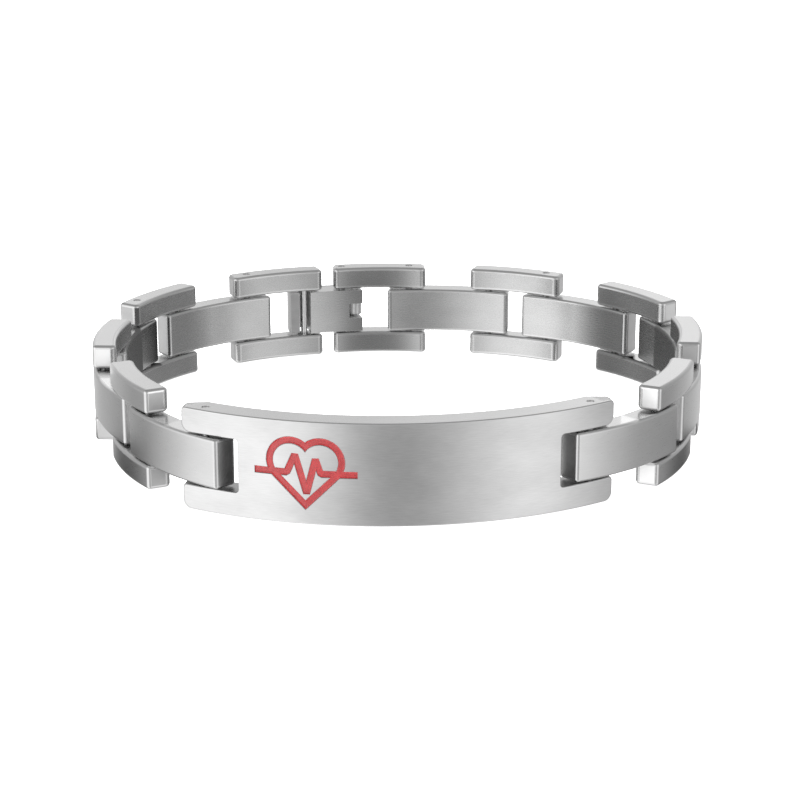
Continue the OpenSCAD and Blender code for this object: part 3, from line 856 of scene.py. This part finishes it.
def plate_piece():
    shell = Shell()
    plate_rim(shell)
    plate_bores(shell)
    rim = [(p[0] - p[2] * PLATE_EASE, p[1] - p[3] * PLATE_EASE) for p in plate_outline]
    grid = grid_points([-S_END + GRID_S * i for i in range(1, GRID_COLUMNS + 1)], GRID_Z)
    outer_face(shell, rim, grid)
    inner_face(shell, rim, grid)
    return shell


plate_mesh = plate_piece().mesh("id_plate")
add_piece("steel_id_plate", plate_mesh, PLATE_STEEL, "bracelet", "id_plate")

# How far the enamel's hollow begins inside the motif's edge, and the depth of the enamel's rim and hollow
HOLLOW_IN, RIM_DEEP, HOLLOW_DEEP = 0.17, 0.09, 0.17


def enamel_piece():
    shell = Shell()
    outer, hollow = motif_loops(LINE_W - 2 * ENAMEL_CLEAR), motif_loops(LINE_W - 2 * HOLLOW_IN)
    verts, faces = filled(outer + hollow)
    kinds = {f: "hollow" if in_motif(middle_of(verts, f), hollow) else "rim"
             for f in faces if in_motif(middle_of(verts, f), outer)}
    deep = {i for f, kind in kinds.items() if kind == "hollow" for i in f}
    owner = edges_of(kinds)
    floor_depth = ENGRAVE_DEEP - ENAMEL_CLEAR

    def at(i, depth):
        return on_plate(*verts[i], depth)

    for f in kinds:
        shell.flat([at(i, HOLLOW_DEEP if i in deep else RIM_DEEP) for i in f], OUTER)
        shell.flat([at(i, floor_depth) for i in f][::-1], OUTER)
        for a, b in pairs(f):
            if (b, a) not in owner:
                shell.flat([at(a, floor_depth), at(b, floor_depth), at(b, RIM_DEEP), at(a, RIM_DEEP)], OUTER)
    return shell


enamel_mesh = enamel_piece().mesh("alert_enamel")
add_piece("motif_enamel", enamel_mesh, [enamel], "bracelet", "alert_enamel")


# Clasp, in the frame of its own step
clasp = Span(CLASP_STEP, LINK_CURVE)
clasp_centre = (0, -clasp.sink)
hinge_x, hinge_y = CLASP_PITCH / 2 + HINGE_OFF, BAND_T / 2 - HINGE_DEEP
hinge = (hinge_x, hinge_y)


def clasp_face(shell, points, finish):
    """A face in the clasp's frame. Its normals come later, from the eased edges."""
    corners = [(tuple(Vector(clasp.place(*p))), (0, 0, 1), clasp.brush(*p)) for p in points]
    shell.face(corners, finish)


def cap(shell, points, z, up, finish):
    """A flat face at one height, from a counter-clockwise outline."""
    clasp_face(shell, [(*p, z) for p in (points if up > 0 else points[::-1])], finish)


def walls(shell, points, z0, z1, finish):
    """Walls along an open line of points, with the metal on its left."""
    for a, b in zip(points, points[1:]):
        clasp_face(shell, [(*a, z0), (*b, z0), (*b, z1), (*a, z1)], finish)


def ease_edges(piece, width):
    """Rounds the edges at which faces turn by more than BEVEL_ANGLE degrees."""
    ease = piece.modifiers.new("ease", "BEVEL")
    ease.width = width * MM
    ease.segments = BEVEL_CUTS
    ease.limit_method = "ANGLE"
    ease.angle_limit = math.radians(BEVEL_ANGLE)
    ease.material = EDGE
    ease.harden_normals = True


def meet(c0, r0, c1, r1, pick=min):
    """The left one of the points where two circles meet, or the right one with pick=max."""
    (x0, y0), (x1, y1) = c0, c1
    d = math.hypot(x1 - x0, y1 - y0)
    a = (r0 ** 2 - r1 ** 2 + d ** 2) / (2 * d)
    h = math.sqrt(r0 ** 2 - a ** 2)
    mx, my = x0 + a * (x1 - x0) / d, y0 + a * (y1 - y0) / d
    found = [(mx + s * h * (y1 - y0) / d, my - s * h * (x1 - x0) / d) for s in (-1, 1)]
    return pick(found, key=lambda p: p[0])


def curve_points(c, r, start, end, cuts):
    """Points on a circle from one point of it to another, the short way round."""
    a0 = math.atan2(start[1] - c[1], start[0] - c[0])
    a1 = math.atan2(end[1] - c[1], end[0] - c[0])
    turn = (a1 - a0 + math.pi) % (2 * math.pi) - math.pi
    turns = [a0 + turn * j / cuts for j in range(cuts + 1)]
    return [(c[0] + r * math.cos(a), c[1] + r * math.sin(a)) for a in turns]


def at_ring(x, ring):
    """The point at x on a circle round the middle of the clasp's curve."""
    return (x, math.sqrt(ring ** 2 - x ** 2) - clasp.sink)


def ring_curve(ring, x0, x1, cuts):
    """Points on such a circle from x0 to x1."""
    return curve_points(clasp_centre, ring, at_ring(x0, ring), at_ring(x1, ring), cuts)


def clasp_base():
    """The inner leaf, with a notch between its two knuckles for the cover's."""
    shell = Shell()
    z0, z3 = link_low.z, link_high.z
    mid = (z0 + z3) / 2
    z1, z2 = mid - KNUCKLE_H / 2 - KNUCKLE_GAP, mid + KNUCKLE_H / 2 + KNUCKLE_GAP
    inner, outer = LINK_CURVE - BAND_T / 2, LINK_CURVE + BAND_T / 2
    start = -CLASP_PITCH / 2 + PIN_R + CATCH_GAP
    notch, end = hinge_x - KNUCKLE_R - KNUCKLE_GAP, hinge_x + HINGE_PAST
    in_near = ring_curve(inner, start, notch, cuts=14)
    in_far = ring_curve(inner, notch, end, cuts=5)
    corner = (hinge_x, BAND_T / 2 - HINGE_PAST)
    top = meet(clasp_centre, outer, corner, HINGE_PAST, max)
    boss = curve_points(corner, HINGE_PAST, (end, corner[1]), top, cuts=9)
    out_far = curve_points(clasp_centre, outer, top, at_ring(notch, outer), cuts=4)
    out_near = ring_curve(outer, notch, start, cuts=14)
    whole = in_near + in_far[1:] + boss + out_far[1:] + out_near[1:]
    cap(shell, whole, z0, -1, SIDE)
    cap(shell, whole, z3, 1, SIDE)
    walls(shell, in_near[:-1], z0, z3, INNER)
    walls(shell, out_near[1:], z0, z3, OUTER)
    for other, at, finish in ((in_near[-2], in_near[-1], INNER), (out_near[1], out_near[0], OUTER)):
        ring = [(*other, z0), (*at, z0), (*at, z1), (*at, z2), (*at, z3), (*other, z3)]
        clasp_face(shell, ring if finish == INNER else ring[::-1], finish)
    walls(shell, [out_near[-1], in_near[0]], z0, z3, END)
    far = in_far + boss + out_far[1:]
    for low, high in ((z0, z1), (z2, z3)):
        walls(shell, in_far, low, high, INNER)
        walls(shell, [in_far[-1]] + boss, low, high, END)
        walls(shell, [boss[-1]] + out_far[1:], low, high, OUTER)
    cap(shell, far, z1, 1, END)
    cap(shell, far, z2, -1, END)
    walls(shell, [in_far[0], out_far[-1]], z1, z2, END)
    return shell


def clasp_cover():
    """The outer leaf: a curved strip, its hooked lip, and the middle knuckle."""
    shell = Shell()
    low, high = node_box("clasp_cover")
    cover_in = LINK_CURVE + BAND_T / 2 + COVER_GAP
    cover_out = cover_in + COVER_T
    hook_in = math.hypot(hinge_x + CLASP_PITCH / 2, hinge_y) + PIN_R + HOOK_GAP
    hook_out = hook_in + HOOK_T
    corner = meet(clasp_centre, cover_out, hinge, hook_out)
    throat = meet(clasp_centre, cover_in, hinge, hook_in)
    tip_out, tip_in = ((hinge_x - math.sqrt(r ** 2 - (hinge_y + HOOK_PAST) ** 2), -HOOK_PAST)
                       for r in (hook_out, hook_in))
    top = curve_points(clasp_centre, cover_out, at_ring(hinge_x, cover_out), corner, cuts=20)
    down = curve_points(hinge, hook_out, corner, tip_out, cuts=8)
    up = curve_points(hinge, hook_in, tip_in, throat, cuts=8)
    back = curve_points(clasp_centre, cover_in, throat, at_ring(hinge_x, cover_in), cuts=16)
    whole = top + down[1:] + up + back[1:]
    cap(shell, whole, low.z, -1, SIDE)
    cap(shell, whole, high.z, 1, SIDE)
    tip = [tip_out, tip_in]
    # The hook's tip takes the recess steel, darkened as painted shade.
    for line, finish in (top, OUTER), (down, OUTER), (tip, RECESS), (up, INNER), (back + top[:1], INNER):
        walls(shell, line, low.z, high.z, finish)
    mid = (low.z + high.z) / 2
    z0, z1 = mid - KNUCKLE_H / 2, mid + KNUCKLE_H / 2
    tongue_y = hinge_y + HINGE_DEEP + COVER_GAP + COVER_T / 2
    side = math.degrees(math.acos(TONGUE_PAST / KNUCKLE_R))
    turns = [math.radians(-180 + (180 + side) * j / KNUCKLE_CUTS) for j in range(KNUCKLE_CUTS + 1)]
    knuckle = [(hinge_x + KNUCKLE_R * math.cos(a), hinge_y + KNUCKLE_R * math.sin(a)) for a in turns]
    knuckle += [(hinge_x + TONGUE_PAST, tongue_y), (hinge_x - KNUCKLE_R, tongue_y)]
    cap(shell, knuckle, z0, -1, END)
    cap(shell, knuckle, z1, 1, END)
    walls(shell, knuckle + [knuckle[0]], z0, z1, END)
    return shell


for name, shape, body in (("clasp_base", clasp_base, "bracelet"), ("clasp_cover", clasp_cover, "cover")):
    mesh = shape().mesh(name, own_normals=False)
    ease_edges(add_piece(f"steel_{name}", mesh, STEEL, body, name), CLASP_EASE)

# Floor, light and camera
FLOOR_HALF = 3.0
FLOOR_LOOK = {
    "Base Color": grey(0.92),
    "Roughness": 0.9,
    "Specular IOR Level": 0.0,
    "Emission Color": grey(1),
    "Emission Strength": 0.8,
}
floor_mesh = bpy.data.meshes.new("floor")
floor_corners = [(x * FLOOR_HALF, y * FLOOR_HALF, 0) for x, y in ((-1, -1), (1, -1), (1, 1), (-1, 1))]
floor_mesh.from_pydata(floor_corners, [], [(0, 1, 2, 3)])
floor = new_object("floor", floor_mesh)
floor_look, floor_tree, floor_shader = nodes_of("floor_white")
feed(floor_tree, floor_shader, FLOOR_LOOK)
floor_mesh.materials.append(floor_look)
floor.visible_glossy = False

# Light round the object: angle from the front, positive to the right, and brightness there
AROUND = [
    (-180, 0.76), (-172, 1.00), (-163, 0.80), (-152, 0.60), (-140, 0.55), (-128, 0.44), (-118, 0.40),
    (-108, 0.58), (-100, 0.78), (-90, 1.10), (-78, 1.26), (-62, 1.42), (-46, 1.44), (-32, 1.28),
    (-20, 0.88), (-10, 0.57), (0, 0.42), (8, 0.44), (15, 0.58), (23, 0.76), (31, 0.92), (40, 1.12),
    (52, 1.20), (62, 0.92), (74, 0.66), (88, 0.46), (105, 0.38), (120, 0.42), (135, 0.55), (152, 0.72),
    (170, 1.05), (180, 0.76),
]
# Brightness overhead, and the upward part of the directions between which the light changes to it
CEILING, CEILING_RANGE = 0.35, (0.4, 0.75)


def studio():
    """The light round the object, as the world. The camera itself sees white."""
    world = bpy.data.worlds.new("studio")
    bpy.context.scene.world = world
    world.use_nodes = True
    tree = world.node_tree
    tree.nodes.clear()
    way = add(tree, "ShaderNodeTexCoord").outputs["Generated"]
    x, y, z = add(tree, "ShaderNodeSeparateXYZ", {0: way}).outputs
    angle = calculate(tree, "ARCTAN2", x, calculate(tree, "MULTIPLY", y, -1.0))
    ramp = add(tree, "ShaderNodeValToRGB", {0: map_range(tree, angle, (-math.pi, math.pi), (0.0, 1.0))})
    stops = ramp.color_ramp.elements
    while len(stops) < len(AROUND):
        stops.new(0.5)
    for stop, (deg, value) in zip(stops, AROUND):
        stop.position = (deg + 180) / 360
        stop.color = grey(value)
    ramp.color_ramp.interpolation = "EASE"
    height = map_range(tree, z, CEILING_RANGE, (0.0, 1.0))
    light = mix_colour(tree, height, ramp.outputs[0], grey(CEILING))
    seen = add(tree, "ShaderNodeLightPath").outputs["Is Camera Ray"]
    surface = add(tree, "ShaderNodeBackground", {0: mix_colour(tree, seen, light, grey(1))})
    end = add(tree, "ShaderNodeOutputWorld")
    tree.links.new(surface.outputs[0], end.inputs[0])


studio()


# Upright panels that only reflections show, as the flags round an object in a studio: name, both ends (x, y),
# from height, to height, brightness, cover, and what fades out: "both" ends, or only the "end"
PANELS = [
    ("flag_right", (35.0, 13.3), (26, 13.3), -25, 12, 0.11, 0.9, "end"),
    ("flag_left", (-34.6, 14.8), (-26, 14.8), -25, 12, 0.12, 1.0, "end"),
    ("flag_back", (25.5, 16.5), (25.5, 25.5), -25, 12, 0.22, 1.0, "both"),
    ("flag_mid", (-5.5, 28), (1.8, 28), -25, 12, 0.25, 1.0, "both"),
    ("flag_far", (-24, 20), (-24, 26), -25, 12, 0.2, 0.5, "both"),
    ("flag_haze", (-5, 13), (-5, 23), -25, 12, 0.6, 0.45, "both"),
    ("flag_e", (-33.0, 19.5), (-28, 19.5), 2.6, 9.1, 0.02, 1.0, "end"),
    ("flag_n", (33.2, 19.5), (28.6, 19.5), 2.6, 9.1, 0.0, 1.0, "end"),
    ("flag_low", (-50, -16), (-38.5, 1), -25, -0.5, 0.1, 1.0, "both"),
    ("flag_under", (50, -16), (39, 1), -25, -0.5, 0.1, 1.0, "both"),
]
PANEL_COLUMNS = 24


def panel(name, start, end, low, high, level, cover, fade):
    """A panel whose brightness covers what is behind it by the share that its corners have."""
    points, covers = [], []
    for i in range(PANEL_COLUMNS + 1):
        u = i / PANEL_COLUMNS
        x, y = (start[c] + (end[c] - start[c]) * u for c in (0, 1))
        points += [(x * MM, y * MM, low * MM), (x * MM, y * MM, high * MM)]
        share = {"both": math.sin(math.pi * u), "end": math.cos(math.pi / 2 * u)}[fade]
        covers += [cover * share] * 2
    mesh = bpy.data.meshes.new(name)
    mesh.from_pydata(points, [], [(2 * i, 2 * i + 2, 2 * i + 3, 2 * i + 1) for i in range(PANEL_COLUMNS)])
    mesh.attributes.new("cover", "FLOAT", "POINT").data.foreach_set("value", covers)
    shown = new_object(name, mesh)
    look, tree, shader = nodes_of(name)
    tree.nodes.remove(shader)
    share = add(tree, "ShaderNodeAttribute", attribute_name="cover").outputs["Fac"]
    glow = add(tree, "ShaderNodeEmission", {"Color": grey(level)}).outputs[0]
    clear = add(tree, "ShaderNodeBsdfTransparent").outputs[0]
    both = add(tree, "ShaderNodeMixShader", {0: share, 1: clear, 2: glow}).outputs[0]
    tree.links.new(both, tree.nodes["Material Output"].inputs[0])
    mesh.materials.append(look)
    shown.visible_camera = shown.visible_diffuse = shown.visible_shadow = shown.visible_transmission = False


for row in PANELS:
    panel(*row)

# Upright lights that only reflections show: name, both ends (x, y), brightness in front and behind.
# A light adds to the studio behind it.
CARDS = [
    ("card_far", (-40.5, -7), (-36.2, -7), 0.35, 0.4),
    ("card_left", (-29.2, -26.7), (-26.2, -23.5), 0.15, 0.7),
    ("card_right", (25, -24.8), (27.6, -28.0), 0.35, 0.5),
]
CARD_LOW, CARD_HIGH = 9.4, 14.0


def card(name, start, end, level, facing):
    """One face of a card. Its power is its brightness times its area times pi."""
    wide, tall = math.dist(start, end) * MM, (CARD_HIGH - CARD_LOW) * MM
    middle = ((start[0] + end[0]) / 2, (start[1] + end[1]) / 2, (CARD_LOW + CARD_HIGH) / 2)
    light = bpy.data.lights.new(name, "AREA")
    light.shape = "RECTANGLE"
    light.size, light.size_y = wide, tall
    light.energy = level * math.pi * wide * tall
    shown = new_object(name, light)
    shown.location = [c * MM for c in middle]
    shown.rotation_euler = (facing * math.pi / 2, 0, math.atan2(end[1] - start[1], end[0] - start[0]))
    shown.visible_camera = shown.visible_diffuse = shown.visible_transmission = False


for name, start, end, front, back in CARDS:
    card(name + "_front", start, end, front, -1)
    card(name + "_back", start, end, back, 1)

# The light overhead, in metres and watts
TOP_SIZE, TOP_POWER, TOP_AT = 0.9, 14.0, (0, 0.05, 0.9)
top_light = bpy.data.lights.new("top_light", "AREA")
top_light.shape = "SQUARE"
top_light.size = TOP_SIZE
top_light.energy = TOP_POWER
top = new_object("top_light", top_light)
top.location = TOP_AT
top.visible_glossy = False

# The camera that was fitted to the photo: its focal length and the photo's width in pixels, its place in
# metres, and how far it looks down and to the side in degrees
FOCAL_PX, PHOTO_PX, SENSOR_WIDTH = 2265.7, 800, 36.0
CAMERA_AT, CAMERA_DOWN, CAMERA_ASIDE = (-0.013456, -0.277654, 0.09138), 17.57, -2.79
camera_data = bpy.data.cameras.new("camera")
camera_data.sensor_width = SENSOR_WIDTH
camera_data.lens = FOCAL_PX / PHOTO_PX * SENSOR_WIDTH
camera_data.clip_start, camera_data.clip_end = 0.01, 20
camera = new_object("camera", camera_data)
camera.location = CAMERA_AT
camera.rotation_euler = (math.radians(90 - CAMERA_DOWN), 0, math.radians(CAMERA_ASIDE))
bpy.context.scene.camera = camera
bpy.context.scene.view_settings.view_transform = "Standard"
